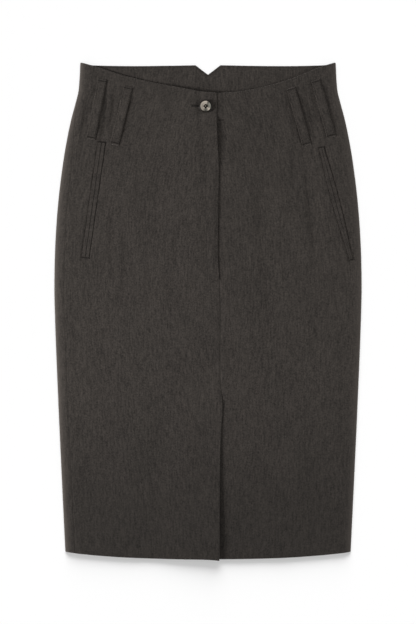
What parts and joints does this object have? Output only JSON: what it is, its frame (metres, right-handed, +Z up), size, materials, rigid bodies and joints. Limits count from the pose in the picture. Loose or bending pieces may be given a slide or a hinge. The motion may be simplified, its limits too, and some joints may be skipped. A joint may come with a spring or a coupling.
{
  "type": "pencil skirt",
  "caption": "Knee-length pencil skirt laid flat, with a high shaped waist, buttoned fly front, belt loops, slanted jetted pockets and a centre-front vent.",
  "frame": {"origin": "on the surface that the skirt lies on, midway between the side folds and midway between the waist's side corners and the lowest corner of the hem", "axes": "+X to the viewer's right, which is the wearer's left; +Y up the skirt towards the waist; +Z up off the surface, out of the front"},
  "size_m": [0.4602, 0.748, 0.0137],
  "materials": {
    "cloth": "matt dark charcoal-brown woven cloth with a fine heathered grain",
    "zip_tape": "matt woven tape",
    "zip_metal": "dark satin metal",
    "button": "polished grey-beige horn-like button with a darker rim"
  },
  "bodies": {
    "root": {"back_right": "cloth", "back_left": "cloth", "front_right": "cloth", "front_left": "cloth", "belt_loop_1": "cloth", "belt_loop_2": "cloth", "belt_loop_3": "cloth", "belt_loop_4": "cloth", "pocket_right_outer_welt": "cloth", "pocket_right_inner_welt": "cloth", "pocket_left_outer_welt": "cloth", "pocket_left_inner_welt": "cloth", "zip_tape": "zip_tape", "zip_slider": "zip_metal", "button": "button"}
  },
  "joints": []
}
